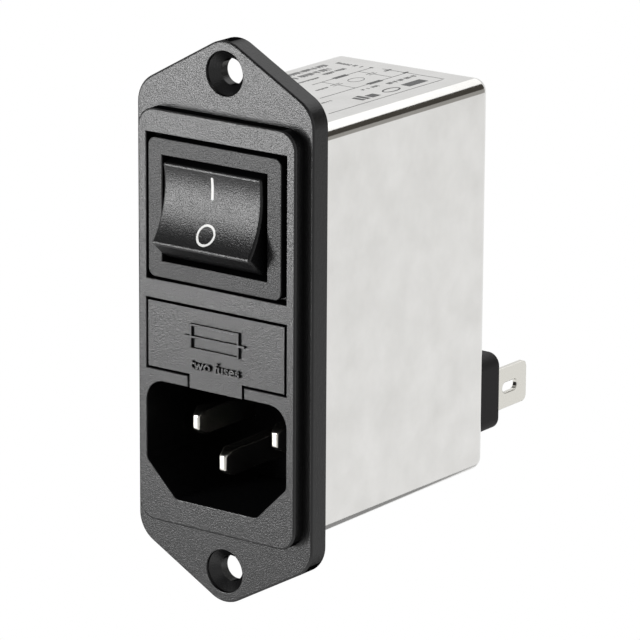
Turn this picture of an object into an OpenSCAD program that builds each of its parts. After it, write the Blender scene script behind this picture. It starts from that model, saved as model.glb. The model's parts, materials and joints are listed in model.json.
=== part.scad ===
// Power entry module for panel mounting: appliance inlet, two-pole fuse drawer,
// two-pole rocker switch and line filter in a drawn metal can.
// Millimetres. X runs right seen from the front, Y runs into the panel, Z is up.
// The origin is midway between the two mounting holes, on the face that meets the panel.

/* [Panel flange] */
// Thickness of the mounting flange
flange_t = 3.2; // [2.8:0.1:4]
// How far the flange stands out beside the raised face
flange_lip = 1.6; // [1.2:0.1:4]
// From the end of the raised face to the centre of a mounting hole
hole_margin = 6; // [5.4:0.1:8]
// Clearance hole for an M3 countersunk screw, with room to align
screw_hole_d = 3.8; // [3.2:0.1:4.2]
// Mouth of the countersink
sink_d = 6.3; // [5.6:0.1:7]
// Straight lip at the mouth of the countersink
sink_lip = 0.5; // [0.2:0.1:0.8]
// Radius of the flange end about the mounting hole
ear_r = 4.6; // [4.2:0.1:6]
// Slope of the flange ends
ear_angle = 29.2; // [22:0.2:34]
// Radius of the flange shoulders
shoulder_r = 4.5; // [2:0.1:6]

/* [Raised face] */
// Height of the raised face above the flange
raise = 2; // [1.4:0.1:3]
// Corner radius of the raised face
raise_r = 2.8; // [1:0.1:4]
// How far the raised face stands out beside the can
raise_lip = 0.12; // [0.05:0.01:0.6]
// Bar above the switch recess
head_bar = 3.46; // [3:0.02:6]
// Bar between the switch recess and the fuse drawer
mid_bar = 2.95; // [2.6:0.05:5]
// Bar between the fuse drawer and the inlet
low_bar = 1.83; // [1.6:0.01:3]
// Bar below the inlet
foot_bar = 3.82; // [3.5:0.02:6]

/* [Inlet] */
// Width of the inlet opening
inlet_w = 24.6; // [24:0.1:26]
// Height of the inlet opening
inlet_h = 16.9; // [16.4:0.1:18]
// Depth of the inlet from the raised face to its floor
inlet_depth = 17; // [15:0.1:18]
// Thickness of the inlet floor
inlet_floor = 2.5; // [1.6:0.1:3.5]
// Radius of the two upper corners
inlet_r = 3; // [1:0.1:4]
// Cut of the two lower corners
inlet_cut = 5.2; // [4:0.1:6]
// Rounding of the cut corners
inlet_cut_r = 1.2; // [0.4:0.1:1.6]
// Wall of the inlet beside the can
inlet_wall = 0.7; // [0.6:0.05:1.2]
// Distance between the line and neutral pins
pin_pitch = 14; // [13:0.1:15]
// The earth pin sits this far below the other two
earth_drop = 4; // [3:0.1:5]
// Line and neutral pins above the middle of the inlet
pin_rise = 1.85; // [1.4:0.05:2.4]
// Tall side of a pin
pin_h = 4; // [3.6:0.1:4.4]
// Narrow side of a pin
pin_t = 2; // [1.6:0.1:2.4]
// Line and neutral tips behind the raised face
pin_setback = 4.35; // [3:0.05:6]
// Earth tip behind the raised face, so that it meets first
earth_setback = 1.45; // [0.8:0.05:2.5]

/* [Switch] */
// Width of the recess that takes the switch frame
recess_w = 24.5; // [24:0.1:25.4]
// Height of the recess that takes the switch frame
recess_h = 21.04; // [20.6:0.02:23]
// Open line beside the switch frame
frame_gap_x = 0.65; // [0.3:0.05:0.9]
// Open line above and below the switch frame
frame_gap_z = 0.5; // [0.3:0.05:0.8]
// Frame face in front of the raised face
frame_proud = 0.35; // [0.1:0.05:0.8]
// Thickness of the switch frame
frame_t = 2.5; // [2:0.1:3]
// Corner radius of the switch frame
frame_r = 1.2; // [0.6:0.1:2]
// Width of the rocker window
window_w = 18.3; // [17.6:0.1:18.8]
// Height of the rocker window
window_h = 15.2; // [14.8:0.1:15.8]
// Side walls of the switch body
body_wall = 1.25; // [1:0.05:1.4]
// Open line beside the rocker
rocker_gap = 0.6; // [0.3:0.05:0.9]
// Length of the pressed face between its two edges
rocker_face = 11.3; // [10.6:0.1:11.8]
// Face edges in front of the pivot
rocker_rise = 5.45; // [5:0.05:5.8]
// Hollow of the face at its middle
rocker_sag = 1.35; // [0.6:0.05:1.6]
// Tilt of the rocker to either side of level
rocker_tilt = 13.8; // [11:0.1:14]
// Pivot behind the frame face
pivot_depth = 3.3; // [3:0.05:3.6]
// Diameter of the rocker trunnions
trunnion_d = 2.4; // [2:0.1:2.8]
// Distance of each pole from the middle of the switch
pole_x = 4.6; // [4.2:0.1:4.8]
// Tilt of the contact levers to either side of level
lever_tilt = 9; // [6:0.5:10]

/* [Fuse drawer] */
// Width of the place for the drawer face
face_w = 24.3; // [22:0.1:24.6]
// Height of the place for the drawer face above its tab
face_h = 10; // [9.8:0.1:12]
// Seam seen round the drawer face
face_seam = 0.35; // [0.2:0.05:0.45]
// Thickness of the drawer face
face_t = 2.3; // [1.8:0.1:2.6]
// Width of the pull tab below the face
tab_w = 9.6; // [6:0.1:12]
// Width of the raised fuse sign
sign_w = 8.6; // [6:0.1:12]
// Height of the raised fuse sign
sign_h = 3.75; // [3:0.05:5]
// Width of the lines of the fuse sign
sign_line = 0.3; // [0.25:0.01:0.5]
// Lines of the fuse sign stand this far out
sign_rise = 0.4; // [0.2:0.05:0.6]
// Length of a cartridge fuse
fuse_l = 20; // [19:0.1:21]
// Diameter of the fuse end caps
fuse_d = 5.2; // [4.8:0.1:5.4]
// Length of a fuse end cap
cap_l = 5; // [4:0.1:6]
// Distance of each fuse from the middle of the drawer
fuse_x = 4.6; // [4.2:0.1:5]
// Outer walls and end wall of the drawer
drawer_wall = 1.1; // [0.8:0.1:1.3]
// Thickness of the leaf contacts
leaf_t = 0.4; // [0.3:0.05:0.5]
// Room for the leaf contacts above the fuses
leaf_rise = 2.2; // [1.8:0.1:2.6]

/* [Filter] */
// Wall of the drawn can
can_wall = 0.5; // [0.4:0.05:0.8]
// Outer radius of the can edges
can_r = 2; // [1.4:0.1:3]
// Space between the board and the end wall of the can
filter_space = 17.9; // [17:0.1:24]
// Thickness of the circuit board
board_t = 1.6; // [1:0.1:2]
// Outer diameter of the choke core
core_od = 17; // [15:0.1:17.6]
// Inner diameter of the choke core
core_id = 9; // [8.6:0.1:9.6]
// Height of the choke core
core_h = 7; // [5:0.1:8]
// Turns in each choke winding
choke_turns = 9; // [5:1:9]
// Diameter of the winding wire
wire_d = 0.9; // [0.6:0.05:0.9]
// Length of the large capacitor
xcap_l = 18; // [14:0.1:20]
// Thickness of the large capacitor
xcap_w = 7.6; // [6:0.1:8]
// Height of the large capacitor
xcap_h = 13; // [10:0.1:13.4]
// Diameter of the small disc capacitors
ycap_d = 7.5; // [6:0.1:8]
// Thickness of the small disc capacitors
ycap_t = 3.4; // [2.6:0.1:3.6]

/* [Terminals] */
// Width of the terminal block outside the can
term_w = 24; // [22.6:0.1:24.6]
// Height of the terminal block outside the can
term_h = 11.7; // [10:0.1:14]
// Underside of the terminal block above the underside of the can
term_low = 4.3; // [3.8:0.1:6]
// Length of the terminal block outside the can
term_out = 5.65; // [3:0.05:9]
// Corner radius of the terminal block
term_r = 1.9; // [0.6:0.1:3]
// Width of a blade terminal
blade_w = 6.3; // [4.8:0.1:6.3]
// Thickness of a blade terminal
blade_t = 0.8; // [0.5:0.1:0.8]
// Length of a blade outside the block
blade_l = 9; // [7.8:0.1:11]
// Distance of the line and neutral blades from the middle
blade_x = 10.4; // [8:0.1:10.6]
// Length of the slot in a blade
slot_l = 3.8; // [2:0.1:4.2]
// Width of the slot in a blade
slot_w = 1.6; // [1.2:0.1:2]
// Middle of the slot before the tip
slot_back = 4.4; // [3.6:0.1:5]
// Earth blade above the middle of the can
earth_z = 8; // [5:0.1:12]
// Diameter of the earth rivet
rivet_d = 3.2; // [2.6:0.1:3.6]

/* [Hidden] */
// Clearances shared by mating pieces
pivot_gap = 0.05;
press_gap = 0.05;
seat_gap = 0.15;
skirt_gap = 0.15;
touch_gap = 0.06;
wall = 1.2;

// Widths, from the inlet outwards
collar_w = inlet_w + 2 * inlet_wall;
can_w = collar_w + 2 * (seat_gap + can_wall);
platform_w = can_w + 2 * raise_lip;
flange_w = platform_w + 2 * flange_lip;

// Heights, stacked from the foot of the raised face
platform_h = foot_bar + inlet_h + low_bar + face_h + mid_bar + recess_h + head_bar;
inlet_z0 = -platform_h / 2 + foot_bar;
inlet_z1 = inlet_z0 + inlet_h;
inlet_z = (inlet_z0 + inlet_z1) / 2;
face_z0 = inlet_z1 + low_bar;
face_z1 = face_z0 + face_h;
face_inset = face_seam - seat_gap;
sign_z = (face_z0 + face_z1) / 2 + 0.8;
sign_reach = sign_w / 2 + 1;
recess_z0 = face_z1 + mid_bar;
recess_z1 = recess_z0 + recess_h;
switch_z = (recess_z0 + recess_z1) / 2;
can_h = platform_h - 1.1;
collar_h = can_h - 2 * (seat_gap + can_wall);
seat_step = 0.3;
seat_rim = 0.05;

// Flange outline
hole_z = platform_h / 2 + hole_margin;
apex_z = hole_z + ear_r / cos(ear_angle);
shoulder_z = apex_z - flange_w / 2 * tan(ear_angle);

// Depths
front_y = -flange_t - raise;
floor_y = front_y + inlet_depth;
frame_y = front_y - frame_proud;
seat_y = frame_y + frame_t;
pivot_y = frame_y + pivot_depth;

// Rocker and contacts
rocker_w = window_w - 2 * rocker_gap;
skirt_r = window_h / 2 - skirt_gap;
skirt_start = 32;
skirt_end = -14;
roof_v = rocker_rise - rocker_sag - 1.4;
barrel_r = 2.3;
plunger_r = 1.5;
tip_r = 1.9;
tip_v = -3.8;
spring_v0 = roof_v - 1;
plunger_v = -1.2;
lever_c = 1.2;
lever_t = 0.8;
lever_y = pivot_y - tip_v + tip_r + lever_c + touch_gap;
lever_half = 6.1;
lever_w = 3.6;
moving_b = -5.1;
moving_r = 1.1;
moving_h = 1;
contact_y = lever_y - (lever_c - lever_t - moving_h) * cos(lever_tilt) - (moving_b - moving_r) * sin(lever_tilt) + touch_gap;
fixed_h = 0.8;
strip_t = 0.8;
strip_y = contact_y + fixed_h;
fixed_z = switch_z + moving_b;
lever_floor_y0 = strip_y + strip_t + 0.02;
lever_floor_y1 = lever_floor_y0 + 1.5;
fixed_tail_z = switch_z - window_h / 2 + 0.3;
tail_w = 2;

// Depths of the drawer, board and can
face_y = front_y + face_t;
ledge_y = face_y + 0.1;
fuse_y0 = face_y + 0.5;
fuse_y1 = fuse_y0 + fuse_l;
drawer_y1 = fuse_y1 + 0.5 + drawer_wall;
chamber_y1 = drawer_y1 + 0.5;
pad_h = 1;
board_y0 = max(chamber_y1 + wall, floor_y + inlet_floor, lever_floor_y1) + pad_h;
board_y1 = board_y0 + board_t;
can_in_y = board_y1 + filter_space;
can_y = can_in_y + can_wall;
tail_y = board_y1 + 0.8;

// Drawer and its chamber
chamber_z0 = face_z0 + 0.55;
drawer_z0 = chamber_z0 + seat_gap;
drawer_floor = drawer_z0 + drawer_wall;
fuse_z = drawer_floor + 0.1 + fuse_d / 2;
leaf_z = fuse_z + fuse_d / 2 + 0.1;
chamber_z1 = leaf_z + leaf_rise;
trough_x = fuse_x + fuse_d / 2 + 0.2;
drawer_x = trough_x + drawer_wall;
chamber_x = drawer_x + seat_gap;
rail = 0.6;
post_r = 1.4;
rail_z0 = fuse_z - 1.2;
rail_z1 = fuse_z - 0.2;
tube_r = fuse_d / 2 - 0.1;
leaf_w = 2;
leaf_x = 1.4;

// Pins and terminals
pin_z = inlet_z + pin_rise;
earth_pin_z = pin_z - earth_drop;
term_z0 = -can_h / 2 + term_low;
term_z = term_z0 + term_h / 2;
term_y = can_y + term_out;
blade_z = term_z - 0.4;
tip_y = term_y + blade_l;
seat_w = min(term_w - 0.8, can_w - 2 * can_r - 0.1);
rivet_x = 4.2;
lug_t = 0.8;
part_gap = 0.35;
wind_gap = 0.12;
core_y0 = tail_y + wire_d + wind_gap + 0.15;
core_y1 = core_y0 + core_h;
choke_r = core_od / 2 + wire_d + wind_gap;
resistor_r = 1.2;
resistor_l = 6.4;
resistor_pitch = 11;
resistor_z = can_h / 2 - can_wall - resistor_r - 2.15;
choke_z = resistor_z - resistor_r - choke_r - 0.88;
xcap_pitch = 15;
xcap_z = chamber_z1 - leaf_t - part_gap - xcap_w / 2;
ycap_pitch = 5;
ycap_x = 5;
ycap_z = xcap_z - xcap_w / 2 - ycap_t / 2 - 1.9;
crimp_r = 1.25;
crimp_l = 3.4;
crimp_drop = 7.4;
crimp_in = 1.5;
earth_wire_r = 0.8;
earth_wire_z = ycap_z - ycap_t / 2 - 2.9;

// Rounded flat shapes
function unit(v) = v / norm(v);
function round_corner(c, i) =
    let (n = len(c))
    let (p = [c[i][0], c[i][1]])
    let (a = c[(i + n - 1) % n])
    let (b = c[(i + 1) % n])
    let (u = unit([a[0], a[1]] - p))
    let (w = unit([b[0], b[1]] - p))
    let (half = acos(u * w) / 2)
    [p + u * c[i][2] / tan(half), p + w * c[i][2] / tan(half), p + unit(u + w) * c[i][2] / sin(half), c[i][2]];
function rect_corners(w, h, r, z) = [
    [w / 2, z + h / 2, r],
    [w / 2, z - h / 2, r],
    [-w / 2, z - h / 2, r],
    [-w / 2, z + h / 2, r]
];

// Flat outline in X and Z carried along Y
module slab(y0, y1) {
    translate([0, y1, 0])
        rotate([90, 0, 0])
            linear_extrude(y1 - y0)
                children();
}

// Flat outline in Y and Z carried along X
module across(x0, x1) {
    translate([x0, 0, 0])
        rotate([90, 0, 90])
            linear_extrude(x1 - x0)
                children();
}

// Outline with true arcs at its corners, each corner given as x, z and radius
module rounded_slab(c, y0, y1) {
    frames = [for (i = [0 : len(c) - 1]) round_corner(c, i)];
    slab(y0, y1)
        polygon([for (f = frames) each [f[0], f[1]]]);
    for (f = frames)
        slab(y0, y1)
            translate(f[2])
                circle(f[3], $fn = 48);
}

// Box between two corners
module block(x0, x1, y0, y1, z0, z1) {
    translate([x0, y0, z0])
        cube([x1 - x0, y1 - y0, z1 - z0]);
}

// Round bar or bore along Y
module rod_y(r, x, y0, y1, z) {
    translate([x, y0, z])
        rotate([-90, 0, 0])
            cylinder(r = r, h = y1 - y0, $fn = 48);
}

// Round bar or bore along X
module rod_x(r, x0, x1, y, z) {
    translate([x0, y, z])
        rotate([0, 90, 0])
            cylinder(r = r, h = x1 - x0, $fn = 48);
}

// Bent strip of even thickness: the path lies in Y and Z, the strip is as wide as w
function left_of(v) = [-v[1], v[0]];
function strip_normal(p, i) = left_of(unit(p[i + 1] - p[i]));
function strip_edge(p, t) = [
    for (i = [0 : len(p) - 1])
        let (n0 = strip_normal(p, max(i - 1, 0)))
        let (n1 = strip_normal(p, min(i, len(p) - 2)))
        p[i] + t * (n0 + n1) / (1 + n0 * n1)
];
module bent_strip(path, t, x, w) {
    edge = strip_edge(path, t);
    across(x - w / 2, x + w / 2)
        polygon(concat(path, [for (i = [len(edge) - 1 : -1 : 0]) edge[i]]));
}

// Round wire along a path, with one reference direction for each point of the path
function step_of(p, i) = unit(p[min(i + 1, len(p) - 1)] - p[max(i - 1, 0)]);
module wire(path, refs, r, sides) {
    last = len(path) - 1;
    points = [
        for (i = [0 : last])
            let (t = step_of(path, i))
            let (n = unit(cross(t, refs[i])))
            let (b = cross(t, n))
            for (j = [0 : sides - 1])
                path[i] + r * (cos(360 * j / sides) * n + sin(360 * j / sides) * b)
    ];
    skin = [
        for (i = [0 : last - 1])
            for (j = [0 : sides - 1])
                [
                    i * sides + j,
                    (i + 1) * sides + j,
                    (i + 1) * sides + (j + 1) % sides,
                    i * sides + (j + 1) % sides
                ]
    ];
    start = [for (j = [0 : sides - 1]) j];
    end = [for (j = [sides - 1 : -1 : 0]) last * sides + j];
    polyhedron(points, concat(skin, [start, end]));
}
function same(path, v) = [for (p = path) v];

// Outlines
flange_corners = [
    [0, apex_z, ear_r],
    [flange_w / 2, shoulder_z, shoulder_r],
    [flange_w / 2, -shoulder_z, shoulder_r],
    [0, -apex_z, ear_r],
    [-flange_w / 2, -shoulder_z, shoulder_r],
    [-flange_w / 2, shoulder_z, shoulder_r]
];
inlet_corners = [
    [inlet_w / 2, inlet_z1, inlet_r],
    [inlet_w / 2, inlet_z0 + inlet_cut, inlet_cut_r],
    [inlet_w / 2 - inlet_cut, inlet_z0, inlet_cut_r],
    [-inlet_w / 2 + inlet_cut, inlet_z0, inlet_cut_r],
    [-inlet_w / 2, inlet_z0 + inlet_cut, inlet_cut_r],
    [-inlet_w / 2, inlet_z1, inlet_r]
];

// Front moulding: flange, raised face, inlet, drawer chamber and switch pocket in one piece
module screw_hole(s) {
    sink_depth = sink_lip + (sink_d - screw_hole_d) / 2;
    rod_y(screw_hole_d / 2, 0, -flange_t - 1, 1, s * hole_z);
    rod_y(sink_d / 2, 0, -flange_t - 1, -flange_t + sink_lip, s * hole_z);
    translate([0, -flange_t + sink_lip, s * hole_z])
        rotate([-90, 0, 0])
            cylinder(r1 = sink_d / 2, r2 = screw_hole_d / 2, h = sink_depth - sink_lip, $fn = 48);
}

module moulding_solid() {
    pocket_x = window_w / 2 + body_wall + seat_gap + wall;
    pocket_z = window_h / 2 + body_wall + seat_gap + wall;
    rounded_slab(flange_corners, -flange_t, 0);
    rounded_slab(rect_corners(platform_w, platform_h, raise_r, 0), front_y, 0);
    rounded_slab(rect_corners(can_w + 2 * seat_rim, can_h + 2 * seat_rim, can_r + seat_rim, 0), -1, seat_step);
    difference() {
        rounded_slab(rect_corners(collar_w, collar_h, can_r, 0), -1, 5);
        block(-collar_w / 2 + 1.4, collar_w / 2 - 1.4, -2, 6, -collar_h / 2 + 1.4, collar_h / 2 - 1.4);
    }
    block(-collar_w / 2, collar_w / 2, -1, floor_y + inlet_floor, inlet_z0 - wall, inlet_z1 + wall);
    block(-chamber_x - rail - wall, chamber_x + rail + wall, -1, chamber_y1 + wall, inlet_z1, chamber_z1 + wall);
    block(-pocket_x, pocket_x, -1, 4, switch_z - pocket_z, switch_z + pocket_z);
    for (x = [-1, 1])
        for (z = [chamber_z0 + 1, chamber_z1 - 1])
            rod_y(post_r, x * (chamber_x + rail + wall - post_r - 0.05), chamber_y1, board_y0, z);
}

module moulding_cuts() {
    pocket_x = window_w / 2 + body_wall + seat_gap;
    pocket_z = window_h / 2 + body_wall + seat_gap;
    for (s = [-1, 1])
        screw_hole(s);
    rounded_slab(inlet_corners, front_y - 1, floor_y);
    for (s = [-1, 1])
        pin_slot(s * pin_pitch / 2, pin_z);
    pin_slot(0, earth_pin_z);
    block(-face_w / 2 - seat_gap, face_w / 2 + seat_gap, front_y - 1, ledge_y, face_z0 - seat_gap, face_z1 + seat_gap);
    block(-tab_w / 2 - seat_gap, tab_w / 2 + seat_gap, front_y - 1, ledge_y, inlet_z1 - 0.2, face_z0);
    block(-chamber_x, chamber_x, ledge_y - 0.5, chamber_y1, chamber_z0, chamber_z1);
    block(-chamber_x - rail, chamber_x + rail, ledge_y - 0.5, chamber_y1, rail_z0 - seat_gap, rail_z1 + seat_gap);
    for (s = [-1, 1])
        for (x = [fuse_x - leaf_x, fuse_x + leaf_x])
            block(
                s * x - leaf_w / 2 - press_gap, s * x + leaf_w / 2 + press_gap,
                chamber_y1 - 0.5, chamber_y1 + wall + 0.5,
                chamber_z1 - leaf_t - press_gap, chamber_z1
            );
    block(-recess_w / 2, recess_w / 2, front_y - 1, seat_y, recess_z0, recess_z1);
    block(-pocket_x, pocket_x, seat_y - 0.5, 5, switch_z - pocket_z, switch_z + pocket_z);
}

module pin_slot(x, z) {
    block(
        x - pin_t / 2 - press_gap, x + pin_t / 2 + press_gap,
        floor_y - 0.5, floor_y + inlet_floor + 0.5,
        z - pin_h / 2 - press_gap, z + pin_h / 2 + press_gap
    );
}

module front_moulding() {
    color([0.09, 0.09, 0.1])
        difference() {
            moulding_solid();
            moulding_cuts();
        }
}

// Inlet pins: flat bars with chamfered tips, each with a narrow tail for the board
module inlet_pin(x, z, y0) {
    y1 = floor_y + inlet_floor + 1;
    tip = 1.6;
    intersection() {
        across(x - pin_t / 2, x + pin_t / 2)
            polygon([
                [y0, z - pin_h / 2 + 0.95],
                [y0 + tip, z - pin_h / 2],
                [y1, z - pin_h / 2],
                [y1, z + pin_h / 2],
                [y0 + tip, z + pin_h / 2],
                [y0, z + pin_h / 2 - 0.95]
            ]);
        translate([0, 0, z - pin_h])
            linear_extrude(2 * pin_h)
                polygon([
                    [x - pin_t / 2 + 0.45, y0],
                    [x - pin_t / 2, y0 + tip],
                    [x - pin_t / 2, y1],
                    [x + pin_t / 2, y1],
                    [x + pin_t / 2, y0 + tip],
                    [x + pin_t / 2 - 0.45, y0]
                ]);
    }
    block(x - 0.4, x + 0.4, y1 - 0.5, tail_y, z - tail_w / 2, z + tail_w / 2);
}

module line_pin() {
    color([0.8, 0.8, 0.78])
        inlet_pin(pin_pitch / 2, pin_z, front_y + pin_setback);
}

module neutral_pin() {
    color([0.8, 0.8, 0.78])
        inlet_pin(-pin_pitch / 2, pin_z, front_y + pin_setback);
}

module earth_pin() {
    color([0.8, 0.8, 0.78])
        inlet_pin(0, earth_pin_z, front_y + earth_setback);
}

// Switch frame with its body, floor and the bearings of the rocker
module switch_frame() {
    body_x = window_w / 2 + body_wall;
    body_z = window_h / 2 + body_wall;
    color([0.13, 0.13, 0.14])
        difference() {
            union() {
                rounded_slab(
                    rect_corners(recess_w - 2 * frame_gap_x, recess_h - 2 * frame_gap_z, frame_r, switch_z),
                    frame_y, seat_y
                );
                block(-body_x, body_x, seat_y - 0.5, lever_floor_y1, switch_z - body_z, switch_z + body_z);
            }
            block(
                -window_w / 2, window_w / 2, frame_y - 1, lever_floor_y0,
                switch_z - window_h / 2, switch_z + window_h / 2
            );
            rod_x(trunnion_d / 2 + pivot_gap, -body_x - 1, body_x + 1, pivot_y, switch_z);
            for (s = [-1, 1]) {
                terminal_slot(s * pole_x, switch_z);
                terminal_slot(s * pole_x, fixed_tail_z + strip_t / 2);
            }
        }
    color([0.13, 0.13, 0.14])
        block(
            -0.5, 0.5, lever_y - 0.4, lever_floor_y0 + 0.5,
            switch_z - window_h / 2 - 0.5, switch_z + window_h / 2 + 0.5
        );
}

module terminal_slot(x, z) {
    block(
        x - tail_w / 2 - press_gap, x + tail_w / 2 + press_gap,
        lever_floor_y0 - 0.5, lever_floor_y1 + 0.5,
        z - strip_t / 2 - press_gap, z + strip_t / 2 + press_gap
    );
}

// Places rocker parts: drawn level about the pivot with the face to -Y, then tilted to ON
module at_rocker() {
    translate([0, pivot_y, switch_z])
        rotate([-rocker_tilt, 0, 0])
            children();
}

// Rocker: hollow cradle with a concave face, flared ends and a skirt about the pivot
module rocker() {
    half = rocker_face / 2;
    face_r = (half * half + rocker_sag * rocker_sag) / (2 * rocker_sag);
    skirt_back = skirt_r * sin(-skirt_end);
    face_edge = [skirt_r * cos(skirt_start), -skirt_r * sin(skirt_start)];
    color([0.11, 0.11, 0.12])
        at_rocker() {
            difference() {
                union() {
                    intersection() {
                        rod_x(skirt_r, -rocker_w / 2, rocker_w / 2, 0, 0);
                        block(-rocker_w, rocker_w, face_edge[1], skirt_back, -skirt_r - 1, skirt_r + 1);
                    }
                    across(-rocker_w / 2, rocker_w / 2)
                        polygon([
                            [face_edge[1], -face_edge[0]],
                            [-rocker_rise, -half],
                            [-rocker_rise, half],
                            [face_edge[1], face_edge[0]],
                            [face_edge[1] + 1, face_edge[0]],
                            [face_edge[1] + 1, -face_edge[0]]
                        ]);
                }
                rod_x(face_r, -rocker_w, rocker_w, -rocker_rise - face_r + rocker_sag, 0);
                block(-rocker_w / 2 + 1.3, rocker_w / 2 - 1.3, -roof_v, skirt_back + 1, -4.7, 4.7);
            }
            for (s = [-1, 1])
                barrel(s);
            for (s = [0, 1])
                mirror([s, 0, 0])
                    rod_x(trunnion_d / 2, rocker_w / 2 - 1, window_w / 2 + body_wall - 0.05, 0, 0);
        }
}

module barrel(s) {
    difference() {
        rod_y(barrel_r, s * pole_x, -roof_v - 0.5, 2.6, 0);
        rod_y(plunger_r + pivot_gap, s * pole_x, -spring_v0, 3, 0);
    }
}

// Spring plungers that ride in the rocker and press the levers
module plunger(s) {
    at_rocker() {
        rod_y(plunger_r, s * pole_x, -plunger_v, -tip_v + 0.2, 0);
        intersection() {
            rod_y(plunger_r, s * pole_x, -tip_v + 0.2, -tip_v + 3, 0);
            translate([s * pole_x, -tip_v, 0])
                sphere(tip_r, $fn = 48);
        }
    }
}

module line_plunger() {
    color([0.85, 0.83, 0.76])
        plunger(1);
}

module neutral_plunger() {
    color([0.85, 0.83, 0.76])
        plunger(-1);
}

// Plunger springs: closed coils between the barrel end and the plunger
module plunger_spring(s) {
    wire_r = 0.2;
    coil_r = plunger_r - wire_r - 0.05;
    turns = 4;
    y0 = -spring_v0 + wire_r + 0.02;
    y1 = -plunger_v - wire_r - 0.02;
    path = [
        for (i = [0 : 16 * turns])
            let (a = 360 * i / 16)
            [s * pole_x + coil_r * cos(a), y0 + (y1 - y0) * i / (16 * turns), coil_r * sin(a)]
    ];
    at_rocker()
        wire(path, same(path, [0, 1, 0]), wire_r, 6);
}

module plunger_springs() {
    color([0.75, 0.75, 0.75])
        for (s = [-1, 1])
            plunger_spring(s);
}

// Contact levers: see-saws on the pivot terminals, drawn level and then tilted to closed
module lever(s) {
    x = s * pole_x;
    translate([0, lever_y, switch_z])
        rotate([lever_tilt, 0, 0]) {
            block(x - lever_w / 2, x + lever_w / 2, -lever_c, -lever_c + lever_t, -lever_half, lever_half);
            rod_x(0.8, x - 1.4, x + 1.4, 0, 0);
            rod_y(moving_r, x, -lever_c + 0.4, -lever_c + lever_t + moving_h, moving_b);
        }
}

module line_lever() {
    color([0.78, 0.5, 0.3])
        lever(1);
}

module neutral_lever() {
    color([0.78, 0.5, 0.3])
        lever(-1);
}

// Pivot terminals: cradles under the levers with tails through the switch floor
module pivot_terminal(s) {
    x = s * pole_x;
    difference() {
        block(x - 1.4, x + 1.4, lever_y + 0.15, lever_floor_y0, switch_z - 1.5, switch_z + 1.5);
        rod_x(0.8 + pivot_gap, x - 3, x + 3, lever_y, switch_z);
        for (z = [-1, 1])
            across(x - 3, x + 3)
                polygon([
                    [lever_y, switch_z + z * 0.95],
                    [lever_y, switch_z + z * 2],
                    [lever_y + 1.6, switch_z + z * 2]
                ]);
    }
    block(x - tail_w / 2, x + tail_w / 2, lever_floor_y0 - 0.3, tail_y, switch_z - strip_t / 2, switch_z + strip_t / 2);
}

module line_pivot_terminal() {
    color([0.85, 0.68, 0.35])
        pivot_terminal(1);
}

module neutral_pivot_terminal() {
    color([0.85, 0.68, 0.35])
        pivot_terminal(-1);
}

// Fixed terminals: a contact under the lever end and a tail through the switch floor
module fixed_terminal(s) {
    x = s * pole_x;
    z1 = fixed_z + 1.5;
    bent_strip(
        [
            [strip_y + strip_t, z1],
            [strip_y + strip_t, fixed_tail_z + strip_t],
            [tail_y, fixed_tail_z + strip_t]
        ],
        -strip_t, x, tail_w
    );
    rod_y(moving_r + 0.2, x, contact_y, strip_y + 0.3, fixed_z);
}

module line_fixed_terminal() {
    color([0.85, 0.68, 0.35])
        fixed_terminal(1);
}

module neutral_fixed_terminal() {
    color([0.85, 0.68, 0.35])
        fixed_terminal(-1);
}

// Raised fuse sign: an oblong with a line through it
module fuse_sign() {
    difference() {
        block(
            -sign_w / 2, sign_w / 2,
            front_y - sign_rise, front_y + 0.2,
            sign_z - sign_h / 2, sign_z + sign_h / 2
        );
        block(
            -sign_w / 2 + sign_line, sign_w / 2 - sign_line,
            front_y - sign_rise - 1, front_y + 1,
            sign_z - sign_h / 2 + sign_line, sign_z + sign_h / 2 - sign_line
        );
    }
    block(
        -sign_reach, sign_reach,
        front_y - sign_rise, front_y + 0.2,
        sign_z - sign_line / 2, sign_z + sign_line / 2
    );
}

// Fuse drawer: face with a pull tab, a raised sign, open trays for two fuses and a rail on each side
module fuse_drawer() {
    color([0.09, 0.09, 0.1]) {
        block(
            -face_w / 2 + face_inset, face_w / 2 - face_inset,
            front_y, face_y,
            face_z0 + face_inset, face_z1 - face_inset
        );
        block(-tab_w / 2 + face_inset, tab_w / 2 - face_inset, front_y, face_y, inlet_z1, face_z0 + 0.5);
        fuse_sign();
        block(-drawer_x, drawer_x, face_y - 0.5, drawer_y1, drawer_z0, drawer_floor);
        block(-drawer_x, drawer_x, drawer_y1 - drawer_wall, drawer_y1, drawer_z0, fuse_z + 1);
        block(-0.6, 0.6, face_y - 0.5, drawer_y1, drawer_z0, fuse_z + 1);
        for (s = [0, 1])
            mirror([s, 0, 0]) {
                block(trough_x, drawer_x, face_y - 0.5, drawer_y1, drawer_z0, fuse_z + 1);
                block(drawer_x - 0.3, drawer_x + rail, face_y - 0.5, drawer_y1, rail_z0, rail_z1);
                for (y = [fuse_y0 + 1, fuse_y1 - 3])
                    difference() {
                        block(0.5, trough_x + 0.1, y, y + 2, drawer_floor - 0.2, fuse_z - 0.8);
                        rod_y(fuse_d / 2 + 0.1, fuse_x, y - 1, y + 3, fuse_z);
                    }
            }
    }
}

// Cartridge fuses: glass tube, plated caps and the fuse wire
module fuse_tube(s) {
    difference() {
        rod_y(tube_r, s * fuse_x, fuse_y0 + 0.5, fuse_y1 - 0.5, fuse_z);
        rod_y(tube_r - 0.55, s * fuse_x, fuse_y0, fuse_y1, fuse_z);
    }
}

module fuse_cap(s, y0, y1, inner0, inner1) {
    difference() {
        rod_y(fuse_d / 2, s * fuse_x, y0, y1, fuse_z);
        rod_y(tube_r + 0.01, s * fuse_x, inner0, inner1, fuse_z);
    }
}

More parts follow.
